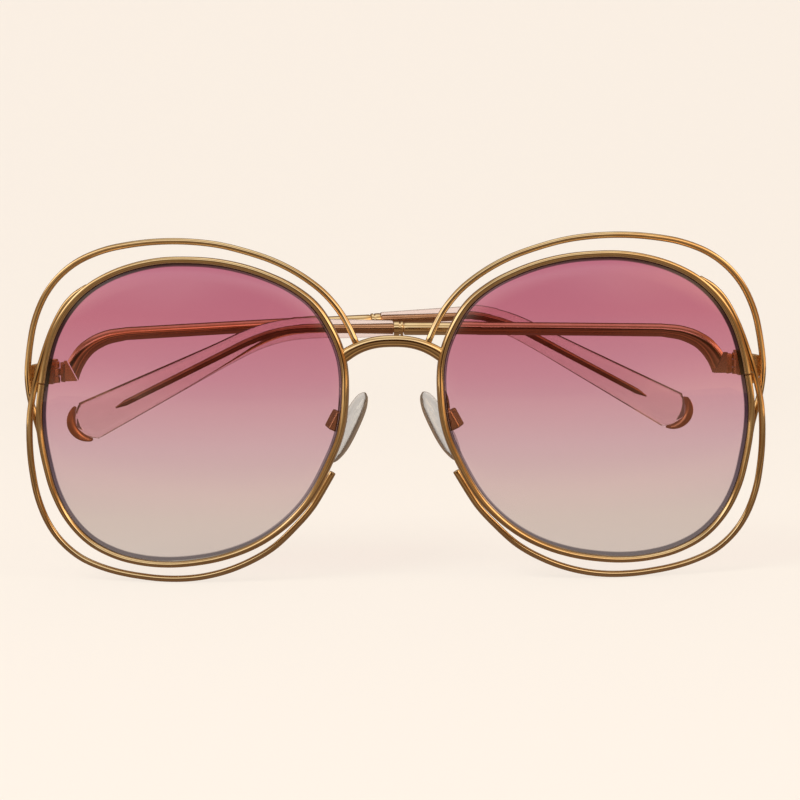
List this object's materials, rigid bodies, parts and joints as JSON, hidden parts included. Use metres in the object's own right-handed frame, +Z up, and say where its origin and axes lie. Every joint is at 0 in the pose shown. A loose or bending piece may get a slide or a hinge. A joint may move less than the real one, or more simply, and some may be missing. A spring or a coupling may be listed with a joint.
{
  "type": "sunglasses",
  "caption": "Round wire-rimmed sunglasses with gradient lenses, doubled rim wires, rocking nose pads and folding bowed temples with clear tips.",
  "frame": {"origin": "where the nose carries the frame, midway between the nose pads at the middle of their height and depth", "axes": "+Z up, -Y out of the front of the lenses, +X to the wearer's left"},
  "size_m": [0.1486, 0.0479, 0.0685],
  "materials": {
    "gold_metal": "polished pale gold plating",
    "screw_metal": "polished pale gold plating",
    "gradient_lens": "polished tinted plastic, rose at the top fading to pale beige",
    "clear_acetate": "polished clear blush plastic",
    "clear_pad": "clear soft plastic"
  },
  "bodies": {
    "front": {"bridge": "gold_metal", "left_rim": "gold_metal", "right_rim": "gold_metal", "left_lens": "gradient_lens", "right_lens": "gradient_lens", "left_upper_wire": "gold_metal", "right_upper_wire": "gold_metal", "left_lower_wire": "gold_metal", "right_lower_wire": "gold_metal", "left_rim_lock_upper": "gold_metal", "right_rim_lock_upper": "gold_metal", "left_rim_lock_lower": "gold_metal", "right_rim_lock_lower": "gold_metal", "left_rim_lock_screw": "screw_metal", "right_rim_lock_screw": "screw_metal", "left_end_piece": "gold_metal", "right_end_piece": "gold_metal", "left_hinge_front_leaf": "gold_metal", "right_hinge_front_leaf": "gold_metal", "left_hinge_screw": "screw_metal", "right_hinge_screw": "screw_metal", "left_pad_arm": "gold_metal", "right_pad_arm": "gold_metal", "left_pad_box": "gold_metal", "right_pad_box": "gold_metal", "left_pad_screw": "screw_metal", "right_pad_screw": "screw_metal"},
    "left_temple": {"left_hinge_temple_leaf": "gold_metal", "left_temple_rod": "gold_metal", "left_temple_collar": "gold_metal", "left_temple_tip": "clear_acetate", "left_tip_plate": "gold_metal"},
    "right_temple": {"right_hinge_temple_leaf": "gold_metal", "right_temple_rod": "gold_metal", "right_temple_collar": "gold_metal", "right_temple_tip": "clear_acetate", "right_tip_plate": "gold_metal"},
    "left_pad": {"left_nose_pad": "clear_pad"},
    "right_pad": {"right_nose_pad": "clear_pad"}
  },
  "joints": [
    {"name": "right_temple_hinge", "type": "hinge", "parent": "front", "child": "right_temple", "pos_m": [-0.0693, 0.00781, 0.0117], "axis": [0, 0, 1], "range_deg": [0, 84.7]},
    {"name": "left_temple_hinge", "type": "hinge", "parent": "front", "child": "left_temple", "pos_m": [0.0693, 0.00781, 0.0117], "axis": [0, 0, -1], "range_deg": [0, 89.7]},
    {"name": "left_pad_rock", "type": "hinge", "parent": "front", "child": "left_pad", "pos_m": [0.01146, -0.0015, 0.00167], "axis": [0.3742, 0.9063, 0.1965], "range_deg": [-8, 8]},
    {"name": "right_pad_rock", "type": "hinge", "parent": "front", "child": "right_pad", "pos_m": [-0.01146, -0.0015, 0.00167], "axis": [-0.3742, 0.9063, 0.1965], "range_deg": [-8, 8]}
  ],
  "couplings": [
    {"joint": "left_temple_hinge", "follows": "right_temple_hinge", "ratio": 1.059}
  ]
}
